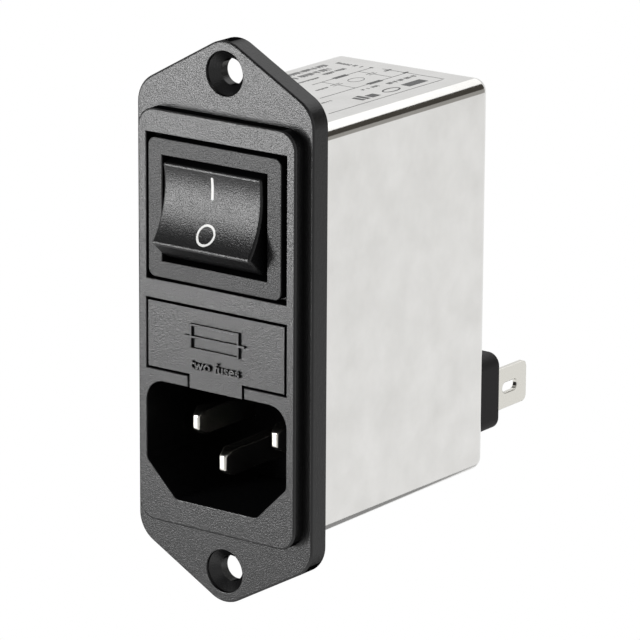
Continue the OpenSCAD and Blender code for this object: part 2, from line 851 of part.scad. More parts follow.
module fuse_caps(s) {
    fuse_cap(s, fuse_y0, fuse_y0 + cap_l, fuse_y0 + 0.4, fuse_y0 + cap_l + 1);
    fuse_cap(s, fuse_y1 - cap_l, fuse_y1, fuse_y1 - cap_l - 1, fuse_y1 - 0.4);
}

module line_fuse_tube() {
    color([0.8, 0.86, 0.86, 0.5])
        fuse_tube(1);
}

module neutral_fuse_tube() {
    color([0.8, 0.86, 0.86, 0.5])
        fuse_tube(-1);
}

module line_fuse_caps() {
    color([0.8, 0.8, 0.8])
        fuse_caps(1);
}

module neutral_fuse_caps() {
    color([0.8, 0.8, 0.8])
        fuse_caps(-1);
}

module line_fuse_wire() {
    color([0.7, 0.7, 0.72])
        rod_y(0.18, fuse_x, fuse_y0 + 0.4, fuse_y1 - 0.4, fuse_z);
}

module neutral_fuse_wire() {
    color([0.7, 0.7, 0.72])
        rod_y(0.18, -fuse_x, fuse_y0 + 0.4, fuse_y1 - 0.4, fuse_z);
}

// Leaf contacts: strips on the chamber ceiling, bowed down onto a fuse cap
module leaf(x, bow) {
    top = chamber_z1 - leaf_t;
    bent_strip(
        [
            [bow - 2.7, top],
            [bow - 2.4, top],
            [bow - 0.7, leaf_z],
            [bow + 0.7, leaf_z],
            [bow + 2.4, top],
            [tail_y, top]
        ],
        leaf_t, x, leaf_w
    );
}

module line_front_leaf() {
    color([0.86, 0.7, 0.4])
        leaf(fuse_x - leaf_x, fuse_y0 + cap_l / 2);
}

module line_rear_leaf() {
    color([0.86, 0.7, 0.4])
        leaf(fuse_x + leaf_x, fuse_y1 - cap_l / 2);
}

module neutral_front_leaf() {
    color([0.86, 0.7, 0.4])
        leaf(-fuse_x + leaf_x, fuse_y0 + cap_l / 2);
}

module neutral_rear_leaf() {
    color([0.86, 0.7, 0.4])
        leaf(-fuse_x - leaf_x, fuse_y1 - cap_l / 2);
}

// Circuit board across the back of the moulding, slotted for every tail
module board_slot(x, z, w, h) {
    block(
        x - w / 2 - seat_gap, x + w / 2 + seat_gap,
        board_y0 - 1, board_y1 + 1,
        z - h / 2 - seat_gap, z + h / 2 + seat_gap
    );
}

module circuit_board() {
    edge = 0.4;
    color([0.12, 0.35, 0.2])
        difference() {
            rounded_slab(rect_corners(collar_w - 2 * edge, collar_h - 2 * edge, can_r, 0), board_y0, board_y1);
            for (s = [-1, 1]) {
                board_slot(s * pin_pitch / 2, pin_z, 0.8, tail_w);
                board_slot(s * pole_x, switch_z, tail_w, strip_t);
                board_slot(s * pole_x, fixed_tail_z + strip_t / 2, tail_w, strip_t);
                board_slot(s * (fuse_x - leaf_x), chamber_z1 - leaf_t / 2, leaf_w, leaf_t);
                board_slot(s * (fuse_x + leaf_x), chamber_z1 - leaf_t / 2, leaf_w, leaf_t);
                board_slot(s * blade_x, blade_z, blade_t, tail_w);
                rod_y(0.5, s * xcap_pitch / 2, board_y0 - 1, board_y1 + 1, xcap_z);
                for (e = [-1, 1])
                    rod_y(0.5, s * ycap_x + e * ycap_pitch / 2, board_y0 - 1, board_y1 + 1, ycap_z);
                rod_y(0.5, s * resistor_pitch / 2, board_y0 - 1, board_y1 + 1, resistor_z);
            }
            board_slot(0, earth_pin_z, 0.8, tail_w);
            rod_y(earth_wire_r + 0.2, rivet_x, board_y0 - 1, board_y1 + 1, earth_wire_z);
        }
}

// Choke: ring core, one winding on each half and a divider card between them
module choke_core() {
    c = 0.6;
    color([0.25, 0.27, 0.25])
        translate([0, core_y0, choke_z])
            rotate([-90, 0, 0])
                rotate_extrude($fn = 72)
                    polygon([
                        [core_id / 2 + c, 0],
                        [core_od / 2 - c, 0],
                        [core_od / 2, c],
                        [core_od / 2, core_h - c],
                        [core_od / 2 - c, core_h],
                        [core_id / 2 + c, core_h],
                        [core_id / 2, core_h - c],
                        [core_id / 2, c]
                    ]);
}

function soft_square(v) = sign(v) * pow(abs(v), 0.4);
module choke_winding(s) {
    steps = 12;
    span = 124;
    total = choke_turns * steps;
    mid_r = (core_id + core_od) / 4;
    off = wire_d / 2 + wind_gap;
    turns = [
        for (i = [0 : total])
            let (a = -span / 2 + span * i / total)
            let (q = -90 + 360 * i / steps)
            let (rr = mid_r + ((core_od - core_id) / 4 + off) * soft_square(cos(q)))
            let (yy = (core_y0 + core_y1) / 2 + (core_h / 2 + off) * soft_square(sin(q)))
            [s * rr * cos(a), yy, choke_z + rr * sin(a)]
    ];
    refs = [
        for (i = [0 : total])
            let (a = -span / 2 + span * i / total)
            [-s * sin(a), 0, cos(a)]
    ];
    wire(turns, refs, wire_d / 2, 6);
}

module line_winding() {
    color([0.72, 0.4, 0.2])
        choke_winding(1);
}

module neutral_winding() {
    color([0.72, 0.4, 0.2])
        choke_winding(-1);
}

module choke_divider() {
    color([0.8, 0.78, 0.7])
        block(-0.5, 0.5, board_y1, core_y1, choke_z - core_id / 2 + 0.2, choke_z + core_id / 2 - 0.2);
}

// Capacitors and resistor behind the board, with their leads
module x_capacitor() {
    color([0.85, 0.72, 0.2])
        rounded_slab(rect_corners(xcap_l, xcap_w, 0.8, xcap_z), board_y1 + 0.1, board_y1 + 0.1 + xcap_h);
}

module x_capacitor_leads() {
    color([0.8, 0.8, 0.8])
        for (s = [-1, 1])
            rod_y(0.4, s * xcap_pitch / 2, board_y0 - 0.8, board_y1 + 0.1, xcap_z);
}

module y_capacitor(s) {
    translate([s * ycap_x, board_y1 + 1.2 + ycap_d / 2, ycap_z - ycap_t / 2])
        cylinder(d = ycap_d, h = ycap_t, $fn = 48);
}

module line_y_capacitor() {
    color([0.2, 0.4, 0.7])
        y_capacitor(1);
}

module neutral_y_capacitor() {
    color([0.2, 0.4, 0.7])
        y_capacitor(-1);
}

module y_capacitor_leads() {
    drop = (ycap_d - sqrt(ycap_d * ycap_d - ycap_pitch * ycap_pitch)) / 2;
    color([0.8, 0.8, 0.8])
        for (s = [-1, 1])
            for (e = [-1, 1])
                difference() {
                    rod_y(0.3, s * ycap_x + e * ycap_pitch / 2, board_y0 - 0.8, board_y1 + 1.6 + drop, ycap_z);
                    y_capacitor(s);
                }
}

module bleed_resistor() {
    color([0.75, 0.65, 0.5])
        rod_x(resistor_r, -resistor_l / 2, resistor_l / 2, board_y1 + resistor_r + 0.2, resistor_z);
}

module resistor_leads() {
    y = board_y1 + resistor_r + 0.2;
    x = resistor_pitch / 2;
    bend = 0.8;
    arc = [for (a = [0 : 15 : 90]) [x - bend + bend * sin(a), y - bend + bend * cos(a), resistor_z]];
    path = concat([[resistor_l / 2, y, resistor_z]], arc, [[x, board_y0 - 0.8, resistor_z]]);
    color([0.8, 0.8, 0.8])
        for (s = [0, 1])
            mirror([s, 0, 0])
                wire(path, same(path, [0, 0, 1]), 0.3, 8);
}

// Filter can: drawn shell that closes against the flange
module can_form(w, h, d, r) {
    hull()
        for (x = [-1, 1])
            for (z = [-1, 1])
                translate([x * (w / 2 - r), 0, z * (h / 2 - r)])
                    rotate([-90, 0, 0])
                        rotate_extrude($fn = 48)
                            polygon(concat(
                                [[0, 0], [r, 0]],
                                [for (a = [0 : 7.5 : 90]) [r * cos(a), d - r + r * sin(a)]]
                            ));
}

module filter_can() {
    color([0.75, 0.75, 0.72])
        difference() {
            translate([0, seat_step, 0])
                can_form(can_w, can_h, can_y - seat_step, can_r);
            translate([0, -1, 0])
                can_form(can_w - 2 * can_wall, can_h - 2 * can_wall, can_in_y + 1, can_r - can_wall);
            rounded_slab(
                rect_corners(term_w + 2 * press_gap, term_h + 2 * press_gap, term_r + press_gap, term_z),
                can_in_y - 1, can_y + 1
            );
            rod_y(rivet_d / 2 + press_gap, rivet_x, can_in_y - 1, can_y + 1, earth_z);
        }
}

// Terminal block: seated inside the end wall of the can, with a boss through it
module terminal_block() {
    color([0.07, 0.07, 0.08])
        difference() {
            union() {
                rounded_slab(rect_corners(term_w, term_h, term_r, term_z), can_in_y - 2, term_y);
                rounded_slab(rect_corners(seat_w, term_h + 1.6, term_r, term_z), can_in_y - 2, can_in_y);
            }
            for (s = [-1, 1])
                block(
                    s * blade_x - blade_t / 2 - press_gap, s * blade_x + blade_t / 2 + press_gap,
                    can_in_y - 3, term_y + 1,
                    blade_z - blade_w / 2 - press_gap, blade_z + blade_w / 2 + press_gap
                );
        }
}

// Blade terminals with rounded tips and a slot
module blade(x, z, y0, y1) {
    nose = 0.9;
    slot_z = slot_w / 2;
    difference() {
        across(x - blade_t / 2, x + blade_t / 2)
            polygon([
                [y0, z - blade_w / 2],
                [y1 - nose, z - blade_w / 2],
                [y1 - 0.26, z - blade_w / 2 + 0.26],
                [y1, z - blade_w / 2 + nose],
                [y1, z + blade_w / 2 - nose],
                [y1 - 0.26, z + blade_w / 2 - 0.26],
                [y1 - nose, z + blade_w / 2],
                [y0, z + blade_w / 2]
            ]);
        block(x - 2, x + 2, y1 - slot_back - slot_l / 2 + slot_z, y1 - slot_back + slot_l / 2 - slot_z, z - slot_z, z + slot_z);
        for (e = [-1, 1])
            rod_x(slot_z, x - 2, x + 2, y1 - slot_back + e * (slot_l / 2 - slot_z), z);
    }
}

module output_blade(s) {
    x = s * blade_x;
    blade(x, blade_z, can_in_y - 2.6, tip_y);
    block(x - blade_t / 2, x + blade_t / 2, board_y0 - 0.8, can_in_y - 2, blade_z - tail_w / 2, blade_z + tail_w / 2);
}

module line_blade() {
    color([0.82, 0.82, 0.8])
        output_blade(1);
}

module neutral_blade() {
    color([0.82, 0.82, 0.8])
        output_blade(-1);
}

// Earth blade: bent foot riveted to the end wall of the can
module earth_blade() {
    color([0.82, 0.82, 0.8]) {
        blade(0, earth_z, can_y, can_y + blade_l);
        difference() {
            block(-blade_t / 2, rivet_x + 3.2, can_y, can_y + blade_t, earth_z - blade_w / 2, earth_z + blade_w / 2);
            rod_y(rivet_d / 2 + press_gap, rivet_x, can_y - 1, can_y + 2, earth_z);
        }
    }
}

module earth_rivet() {
    color([0.8, 0.8, 0.8]) {
        rod_y(rivet_d / 2, rivet_x, can_in_y - lug_t - 0.5, can_y + blade_t + 0.5, earth_z);
        rod_y(rivet_d / 2 + 1.1, rivet_x, can_y + blade_t, can_y + blade_t + 1, earth_z);
        rod_y(rivet_d / 2 + 0.9, rivet_x, can_in_y - lug_t - 0.9, can_in_y - lug_t, earth_z);
    }
}

// Earth lead: ring lug under the rivet and the wire from the board
module earth_lug() {
    color([0.8, 0.8, 0.78])
        difference() {
            union() {
                rod_y(rivet_d / 2 + 1.6, rivet_x, can_in_y - lug_t, can_in_y, earth_z);
                block(
                    rivet_x - 1, rivet_x + 1, can_in_y - lug_t, can_in_y,
                    earth_z - crimp_drop + crimp_l - 1, earth_z
                );
                translate([rivet_x, can_in_y - crimp_in, earth_z - crimp_drop])
                    cylinder(r = crimp_r, h = crimp_l, $fn = 48);
            }
            rod_y(rivet_d / 2 + press_gap, rivet_x, can_in_y - 3, can_in_y + 1, earth_z);
            translate([rivet_x, can_in_y - crimp_in, earth_z - crimp_drop - 0.6])
                cylinder(r = earth_wire_r + press_gap, h = crimp_l + 0.2, $fn = 48);
        }
}

module earth_wire() {
    y_run = can_in_y - 2 - 1.1;
    y_lug = can_in_y - crimp_in;
    bend = 1.8;
    low = earth_wire_z;
    z_end = earth_z - crimp_drop + crimp_l - 0.6;
    arc = [for (a = [0 : 15 : 90]) [rivet_x, y_run - bend + bend * sin(a), low + bend - bend * cos(a)]];
    path = concat(
        [[rivet_x, board_y1 - 0.6, low]],
        arc,
        [
            [rivet_x, y_run, z_end - 7],
            [rivet_x, y_run + 0.2 * (y_lug - y_run), z_end - 6],
            [rivet_x, y_run + 0.8 * (y_lug - y_run), z_end - 4],
            [rivet_x, y_lug, z_end - 3],
            [rivet_x, y_lug, z_end]
        ]
    );
    color([0.3, 0.6, 0.2])
        wire(path, same(path, [1, 0, 0]), earth_wire_r, 12);
}

front_moulding();
line_pin();
neutral_pin();
earth_pin();
switch_frame();
rocker();
line_plunger();
neutral_plunger();
plunger_springs();
line_lever();
neutral_lever();
line_pivot_terminal();
neutral_pivot_terminal();
line_fixed_terminal();
neutral_fixed_terminal();
fuse_drawer();
line_fuse_tube();
neutral_fuse_tube();
line_fuse_caps();
neutral_fuse_caps();
line_fuse_wire();
neutral_fuse_wire();
line_front_leaf();
line_rear_leaf();
neutral_front_leaf();
neutral_rear_leaf();
circuit_board();
choke_core();
line_winding();
neutral_winding();
choke_divider();
x_capacitor();
x_capacitor_leads();
line_y_capacitor();
neutral_y_capacitor();
y_capacitor_leads();
bleed_resistor();
resistor_leads();
filter_can();
terminal_block();
line_blade();
neutral_blade();
earth_blade();
earth_rivet();
earth_lug();
earth_wire();
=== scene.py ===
"""Looks of the power entry module: finishes, softened edges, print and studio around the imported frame."""

import json
import math

import bmesh
import bpy
import numpy as np
from mathutils import Matrix, Vector

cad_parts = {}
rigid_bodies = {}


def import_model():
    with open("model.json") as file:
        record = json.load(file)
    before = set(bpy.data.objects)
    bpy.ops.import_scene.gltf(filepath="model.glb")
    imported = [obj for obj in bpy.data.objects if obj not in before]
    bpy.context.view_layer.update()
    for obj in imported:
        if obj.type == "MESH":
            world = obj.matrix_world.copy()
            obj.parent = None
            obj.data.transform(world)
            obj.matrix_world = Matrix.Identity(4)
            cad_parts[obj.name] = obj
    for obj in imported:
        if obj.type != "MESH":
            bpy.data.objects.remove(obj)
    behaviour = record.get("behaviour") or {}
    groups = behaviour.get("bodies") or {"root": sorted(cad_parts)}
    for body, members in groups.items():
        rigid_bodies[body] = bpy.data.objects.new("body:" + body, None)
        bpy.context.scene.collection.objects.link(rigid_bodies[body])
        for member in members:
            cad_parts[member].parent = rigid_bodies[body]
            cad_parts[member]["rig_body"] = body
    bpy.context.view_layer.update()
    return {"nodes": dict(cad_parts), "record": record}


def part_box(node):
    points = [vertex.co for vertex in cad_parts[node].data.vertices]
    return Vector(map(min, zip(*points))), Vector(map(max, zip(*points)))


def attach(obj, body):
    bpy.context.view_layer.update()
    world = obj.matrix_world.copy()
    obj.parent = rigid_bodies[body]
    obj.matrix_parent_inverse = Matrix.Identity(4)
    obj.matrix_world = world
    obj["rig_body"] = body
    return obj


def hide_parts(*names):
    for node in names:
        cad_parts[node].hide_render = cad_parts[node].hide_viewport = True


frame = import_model()
NODES = frame["nodes"]
SLOT_OF = {p["node"]: p["material_slot"] for p in frame["record"]["subparts"]}
MM = 0.001

# Places on the part in millimetres, and the share of the rounding that its openings get
FACE_Y = -5.2
FRAME_FRONT_Y = -5.3
FLANGE_FRONT_Y = -2.9
CAN_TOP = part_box("filter_can")[1][2] / MM
HOLE_Z = 36.0
HOLE_ZONE = 3.9
OPENINGS_HALF_X = 12.6
OPENINGS_HALF_Z = 28.6
OPENINGS_SHARE = 0.40

# Rocker: pivot, height of the lips above it, hollow, radius of the hollow (mm) and tilt
PIVOT_Y = -2.25
PIVOT_Z = 16.02
ROCKER_RISE = 5.45
ROCKER_SAG = 1.35
ROCKER_R = 12.5
ROCKER_TILT = math.radians(13.8)


# Shader helpers
def tone(code):
    """sRGB hex code to linear colour, opaque."""
    part = np.array([int(code[i:i + 2], 16) for i in (1, 3, 5)]) / 255
    part = np.where(part <= 0.04045, part / 12.92, ((part + 0.055) / 1.055) ** 2.4)
    return (*part.tolist(), 1.0)


def add(tree, kind, settings=None, links=None):
    """One shader node with its sockets and options set and its inputs linked from (node, output) pairs."""
    n = tree.nodes.new("ShaderNode" + kind)
    for key, value in (settings or {}).items():
        if isinstance(key, int) or key in n.inputs:
            n.inputs[key].default_value = value
        else:
            setattr(n, key, value)
    for key, (source, out) in (links or {}).items():
        tree.links.new(source.outputs[out], n.inputs[key])
    return n


def empty_tree(owner):
    """The node tree of a material or a world, with nothing in it."""
    owner.use_nodes = True
    owner.node_tree.nodes.clear()
    return owner.node_tree


# The plastics' shine fades between these turns away from the eye: 0 is face on, 1 is edge on
GLANCE_FROM = 0.25
GLANCE_TO = 0.70


def finish(name, colour, roughness, metallic=0.0, grain=None, cloud=None, gloss=None, deep=None, **sockets):
    """A material with one shader. grain = (size mm, depth mm) is a bump. cloud = (size mm, other colour) is
    a colour that wanders over the surface. gloss is a shine that fades where the grain shades itself at a
    low glance. deep = (from mm, to mm) is the depth behind the panel face over which that shine dies away,
    a painted shade that darkens the inside of the openings."""
    m = bpy.data.materials.new(name)
    t = empty_tree(m)
    settings = {"Base Color": tone(colour), "Roughness": roughness, "Metallic": metallic}
    settings.update({k.replace("_", " "): v for k, v in sockets.items()})
    skin = add(t, "BsdfPrincipled", settings)
    add(t, "OutputMaterial", None, {"Surface": (skin, 0)})
    if grain or cloud or deep:
        where = (add(t, "TexCoord"), "Object")
    if grain:
        size, depth = grain
        pits = add(t, "TexNoise", {"Scale": 1 / (size * MM), "Detail": 1.0}, {"Vector": where})
        relief = add(t, "Bump", {"Strength": 1.0, "Distance": depth * MM}, {"Height": (pits, "Fac")})
        t.links.new(relief.outputs[0], skin.inputs["Normal"])
    if cloud:
        size, other = cloud
        drift = add(t, "TexNoise", {"Scale": 1 / (size * MM), "Detail": 3.0}, {"Vector": where})
        shade = add(t, "Mix", {"data_type": "RGBA", 6: tone(colour), 7: tone(other)}, {0: (drift, "Fac")})
        t.links.new(shade.outputs[2], skin.inputs["Base Color"])
    if gloss:
        fade = {"From Min": GLANCE_FROM, "From Max": GLANCE_TO, "To Min": gloss, "To Max": 0.0}
        shine = add(t, "MapRange", fade, {"Value": (add(t, "LayerWeight"), "Facing")})
        # Painted shade: the shine dies away with depth behind the panel face, so the inside of the inlet goes
        # dark
        if deep:
            behind = add(t, "SeparateXYZ", None, {"Vector": where})
            fade = {"From Min": deep[0] * MM, "From Max": deep[1] * MM, "To Max": 0.0}
            shine = add(t, "MapRange", fade, {"Value": (behind, "Y"), "To Min": (shine, 0)})
        t.links.new(shine.outputs[0], skin.inputs["Specular IOR Level"])
    return m


# Finishes, one for each slot; moulded grain is finer in life, and is drawn as coarse as it needs to show
FINISH = {
    # Glass-filled polyamide, moulded in a spark-eroded tool: black, fine dull grain that catches side light
    # Its shine dies away deep inside the openings: painted shade
    "black_moulding": finish(
        "polyamide_black_grained", "#111112", 0.30, grain=(0.17, 0.039), gloss=0.51, deep=(0.2, 4.0)),
    # Polyamide, moulded in a blasted tool: the same black, smoother to the eye
    "switch_plastic": finish("polyamide_black_satin", "#111112", 0.38, grain=(0.175, 0.054), gloss=0.415),
    # Polyamide rocker, blasted in the hollow: satin black
    "rocker_plastic": finish(
        "polyamide_rocker_satin", "#0f0f10", 0.28, grain=(0.17, 0.038), Specular_IOR_Level=0.375),
    # Thermoset block, moulded: dull black
    "terminal_plastic": finish(
        "thermoset_black_dull", "#181618", 0.60, grain=(0.3, 0.010), Specular_IOR_Level=0.25),
    # Tin-plated deep-drawn steel: bright, a little cloudy
    "tinned_steel": finish(
        "steel_drawn_tin_plated", "#cfcecb", 0.11, metallic=1.0, cloud=(5.0, "#e6e5e3")),
    # Nickel-plated brass: bright and slightly warm
    "nickel_plate": finish("brass_nickel_plated", "#d8d6cf", 0.22, metallic=1.0),
    # Stamped brass: yellow metal, rolled surface
    "contact_brass": finish("brass_stamped", "#cfa85a", 0.30, metallic=1.0),
    # Drawn spring wire: grey metal
    "spring_steel": finish("steel_spring_wire", "#9a9a9c", 0.35, metallic=1.0),
    # Acetal plungers, moulded: milky white
    "plunger_plastic": finish("acetal_white", "#dedbd2", 0.40),
    # Soda glass tube, drawn: clear
    "fuse_glass": finish("glass_drawn_clear", "#ffffff", 0.03, Transmission_Weight=1.0, IOR=1.5),
    # Glass-epoxy laminate under green resist: semi-gloss
    "board_laminate": finish("laminate_green_resist", "#1f5a35", 0.35),
    # Sintered ferrite: dark grey, dull
    "ferrite": finish("ferrite_sintered", "#3a3b3d", 0.55, grain=(0.3, 0.008)),
    # Enamelled copper wire: red-brown gloss
    "copper_wire": finish("copper_enamelled", "#b5652f", 0.28, metallic=1.0),
    # Pressed insulating card: off-white
    "divider_card": finish("card_pressed", "#d8d2bf", 0.75),
    # Polyester case of a film capacitor, moulded: yellow
    "film_box": finish("polyester_yellow_case", "#d9b23c", 0.40),
    # Dipped epoxy on disc capacitors: blue
    "disc_coating": finish("epoxy_dipped_blue", "#2f63a8", 0.35),
    # Lacquered resistor body: beige
    "resistor_coating": finish("lacquer_beige", "#c9b48c", 0.40),
    # Vinyl wire covering, extruded: green
    "earth_insulation": finish("vinyl_green", "#3d8a3a", 0.45),
}
# Pad-printed ink on the rocker: opaque white
WHITE_INK = finish("ink_pad_printed_white", "#f6f6f4", 0.50)
# Thin black ink on tin: reads as dark grey
GREY_INK = finish("ink_printed_grey", "#6e6e6f", 0.60)


def set_up(name, data):
    """An object of the scene, at the origin, that shows data."""
    obj = bpy.data.objects.new(name, data)
    bpy.context.scene.collection.objects.link(obj)
    return obj


# Dressed copies of CAD nodes: limits in metres and radians, and how much a large face counts
MERGE = 1.5e-6
SLIVER = 1e-7
FLAT = math.radians(0.2)
CREASE = math.radians(32.0)
EVEN_WEIGHT = 80


def dress(node, edge=0.0, steps=2, share=None):
    """The CAD mesh merged, its flat faces made whole, its edges softened by edge (mm), or by a share of it
    that a function of the place gives."""
    src = NODES[node]
    mesh = src.data.copy()
    mesh.name = node + "_skin"
    mesh.materials.clear()
    mesh.materials.append(FINISH[SLOT_OF[node]])
    bm = bmesh.new()
    bm.from_mesh(mesh)
    bmesh.ops.remove_doubles(bm, verts=bm.verts, dist=MERGE)
    bmesh.ops.dissolve_degenerate(bm, edges=bm.edges, dist=SLIVER)
    bmesh.ops.dissolve_limit(bm, angle_limit=FLAT, verts=bm.verts, edges=bm.edges)
    for f in bm.faces:
        f.smooth = True
    bm.normal_update()
    weight = bm.edges.layers.float.new("bevel_weight_edge")
    for e in bm.edges:
        e.smooth = len(e.link_faces) == 2 and e.calc_face_angle(0.0) < CREASE
        if share and not e.smooth and e.is_convex:
            e[weight] = min(share(*(v.co / MM)) for v in e.verts)
    bm.to_mesh(mesh)
    bm.free()
    if "custom_normal" in mesh.attributes:
        mesh.attributes.remove(mesh.attributes["custom_normal"])
    obj = set_up(node + "_skin", mesh)
    if edge:
        soft = obj.modifiers.new("edge", "BEVEL")
        soft.width = edge * MM
        soft.segments = steps
        soft.limit_method = "WEIGHT" if share else "ANGLE"
        soft.angle_limit = CREASE
        # The front, the frame and the rocker have short edges that would clamp every rounding to nothing
        soft.use_clamp_overlap = not share and node != "rocker"
        soft.miter_outer = "MITER_ARC"
    even = obj.modifiers.new("even", "WEIGHTED_NORMAL")
    even.weight = EVEN_WEIGHT
    even.keep_sharp = True
    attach(obj, src["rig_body"])
    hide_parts(node)


def front_rounding(x, y, z):
    """Share of the rounding on the front: whole round the outlines of flange and face, less round the
    openings and holes, none behind the flange's front."""
    past_openings = max(abs(x) - OPENINGS_HALF_X, abs(z) - OPENINGS_HALF_Z) > 0
    off_holes = math.hypot(x, abs(z) - HOLE_Z) > HOLE_ZONE
    return (1.0 if past_openings and off_holes else OPENINGS_SHARE) * (y < FLANGE_FRONT_Y)


def frame_rounding(x, y, z):
    """Share of the rounding on the switch frame: whole on its front edges, none behind."""
    return float(y < FRAME_FRONT_Y)


dress("front_moulding", 0.30, 3, share=front_rounding)
dress("switch_frame", 0.13, 3, share=frame_rounding)
# Node, rounding in millimetres, steps of the rounding
for name, edge, steps in (
    ("rocker", 0.36, 4), ("fuse_drawer", 0.12, 3),
    ("line_pin", 0.25, 3), ("neutral_pin", 0.25, 3), ("earth_pin", 0.25, 3),
    ("filter_can", 0.0, 2), ("terminal_block", 0.20, 2),
    ("line_blade", 0.12, 2), ("neutral_blade", 0.12, 2), ("earth_blade", 0.12, 2), ("earth_rivet", 0.25, 3),
    ("line_fuse_tube", 0.0, 2), ("neutral_fuse_tube", 0.0, 2),
    ("line_fuse_caps", 0.15, 2), ("neutral_fuse_caps", 0.15, 2),
    ("line_fuse_wire", 0.0, 2), ("neutral_fuse_wire", 0.0, 2),
):
    dress(name, edge, steps)
for name, node in NODES.items():
    if not node.hide_render:
        node.data.materials.clear()
        node.data.materials.append(FINISH[SLOT_OF[name]])


# New pieces, worked out in millimetres; HAIR keeps the round end of a stroke from closing to a point
HAIR = 1e-6


def piece(name, points, faces, material, body):
    """A mesh object at the origin from points in millimetres, with its faces turned outwards."""
    mesh = bpy.data.meshes.new(name)
    mesh.from_pydata((np.asarray(points) * MM).tolist(), [], np.asarray(faces).tolist())
    mesh.materials.append(material)
    bm = bmesh.new()
    bm.from_mesh(mesh)
    bmesh.ops.remove_doubles(bm, verts=bm.verts, dist=SLIVER)
    bmesh.ops.recalc_face_normals(bm, faces=bm.faces)
    bm.to_mesh(mesh)
    bm.free()
    obj = set_up(name, mesh)
    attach(obj, body)


def loop_faces(rows, cols, closed):
    """Quads of a grid with rows points along the path and cols points round the profile, which closes."""
    i, j = np.meshgrid(np.arange(rows if closed else rows - 1), np.arange(cols), indexing="ij")
    here = i * cols
    ahead = ((i + 1) % rows) * cols
    beside = (j + 1) % cols
    return np.stack([here + j, ahead + j, ahead + beside, here + beside], -1).reshape(-1, 4)


def bars(boxes):
    """Thin boxes from rows of x0, x1, y0, y1, z0, z1: a corner picks the low or high value on each axis."""
    b = np.asarray(boxes, float).reshape(-1, 3, 2)
    pick = np.array([[0, 0, 0], [1, 0, 0], [1, 1, 0], [0, 1, 0], [0, 0, 1], [1, 0, 1], [1, 1, 1], [0, 1, 1]])
    points = b[:, np.arange(3)[None, :], pick].reshape(-1, 3)
    side = np.array([[3, 2, 1, 0], [4, 5, 6, 7], [0, 1, 5, 4], [1, 2, 6, 5], [2, 3, 7, 6], [3, 0, 4, 7]])
    faces = (side[None] + 8 * np.arange(len(b))[:, None, None]).reshape(-1, 4)
    return points, faces


def ring(across, along, half_x, half_y, line, low, high, count=64):
    """An oval line: a box profile, line wide, carried round x = half_x cos a, y = half_y sin a."""
    a = np.linspace(0, 2 * np.pi, count, endpoint=False)[:, None]
    grow = line / 2 * np.array([1, -1, -1, 1])[None]
    x = across + (half_x + grow) * np.cos(a)
    y = along + (half_y + grow) * np.sin(a)
    z = np.broadcast_to(np.array([high, high, low, low]), x.shape)
    return np.stack([x, y, z], -1).reshape(-1, 3), loop_faces(count, 4, True)


def stroke(length, width, low, high, count=33):
    """A bar with round ends along y: half width sqrt(r2 - d2), with d as far as a point is in the end."""
    r = width / 2
    y = (length / 2) * np.sin(np.linspace(-np.pi / 2, np.pi / 2, count))
    d = np.clip(np.abs(y) - (length / 2 - r), 0, r)
    half = np.sqrt(np.maximum(r * r - d * d, HAIR))[:, None]
    x = half * np.array([1, -1, -1, 1])[None]
    z = np.broadcast_to(np.array([high, high, low, low]), x.shape)
    points = np.stack([x, np.broadcast_to(y[:, None], x.shape), z], -1).reshape(-1, 3)
    last = 4 * count - 1
    ends = np.array([[0, 1, 2, 3], [last, last - 1, last - 2, last - 3]])
    return points, np.vstack([loop_faces(count, 4, False), ends])


def on_rocker(points):
    """Points x, w, lift laid on the hollow rocker face: v = rise - sag + R - sqrt(R2 - w2) + lift out from
    the pivot, then tilted about the pivot."""
    x, w, lift = points.T
    v = ROCKER_RISE - ROCKER_SAG + ROCKER_R - np.sqrt(ROCKER_R ** 2 - w ** 2) + lift
    c = math.cos(ROCKER_TILT)
    s = math.sin(ROCKER_TILT)
    return np.stack([x, PIVOT_Y - v * c + w * s, PIVOT_Z + v * s + w * c], -1)


# White marks on the rocker, from just under its face to just above
SUNK = -0.05
PROUD = 0.015
mark, skin = stroke(length=3.15, width=0.42, low=SUNK, high=PROUD)
piece("rocker_mark_on", on_rocker(mark + np.array([0.02, 3.22, 0.0])), skin, WHITE_INK, "rocker")
mark, skin = ring(across=0.04, along=-3.25, half_x=1.41, half_y=1.41, line=0.34, low=SUNK, high=PROUD)
piece("rocker_mark_off", on_rocker(mark), skin, WHITE_INK, "rocker")

# Raised letters: a tall letter's share of the font size, half the thickness and the swelling (mm)
LETTER_SHARE = 0.7
LETTER_HALF = 0.25
LETTER_SWELL = 0.03


def raised_word(name, word, height, width, spot, body, slot):
    """A word in raised letters, made a mesh, stretched to the given width and stood up on the drawer face at
    spot (mm)."""
    curve = bpy.data.curves.new(name, "FONT")
    curve.body = word
    curve.align_x = "CENTER"
    curve.size = height / LETTER_SHARE * MM
    curve.extrude = LETTER_HALF * MM
    curve.offset = LETTER_SWELL * MM
    curve.resolution_u = 3
    text = set_up(name + "_curve", curve)
    mesh = bpy.data.meshes.new_from_object(text.evaluated_get(bpy.context.evaluated_depsgraph_get()))
    bpy.data.objects.remove(text)
    flat = np.empty(3 * len(mesh.vertices))
    mesh.vertices.foreach_get("co", flat)
    stretch = Matrix.Diagonal((width * MM / np.ptp(flat[0::3]), 1, 1, 1))
    upright = Matrix.Rotation(math.pi / 2, 4, "X")
    mesh.transform(Matrix.Translation(Vector(spot) * MM) @ upright @ stretch)
    mesh.materials.clear()
    mesh.materials.append(FINISH[slot])
    obj = set_up(name, mesh)
    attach(obj, body)


raised_word("fuse_word", "two fuses", height=1.45, width=8.7, spot=(0.1, FACE_Y - 0.15, -6.28),
            body="fuse_drawer", slot="black_moulding")

# Print on the can: a fine frame, rows of plain bars and a simple filter diagram, in millimetres
INK_LOW = CAN_TOP - 0.02
INK_HIGH = CAN_TOP + 0.012
FINE = 0.12
PRINT_PITCH = 0.33
PRINT_STROKE = 0.19
PRINT_GAPS = 0.16
PRINT_TOPS = (0.1, 0.5)


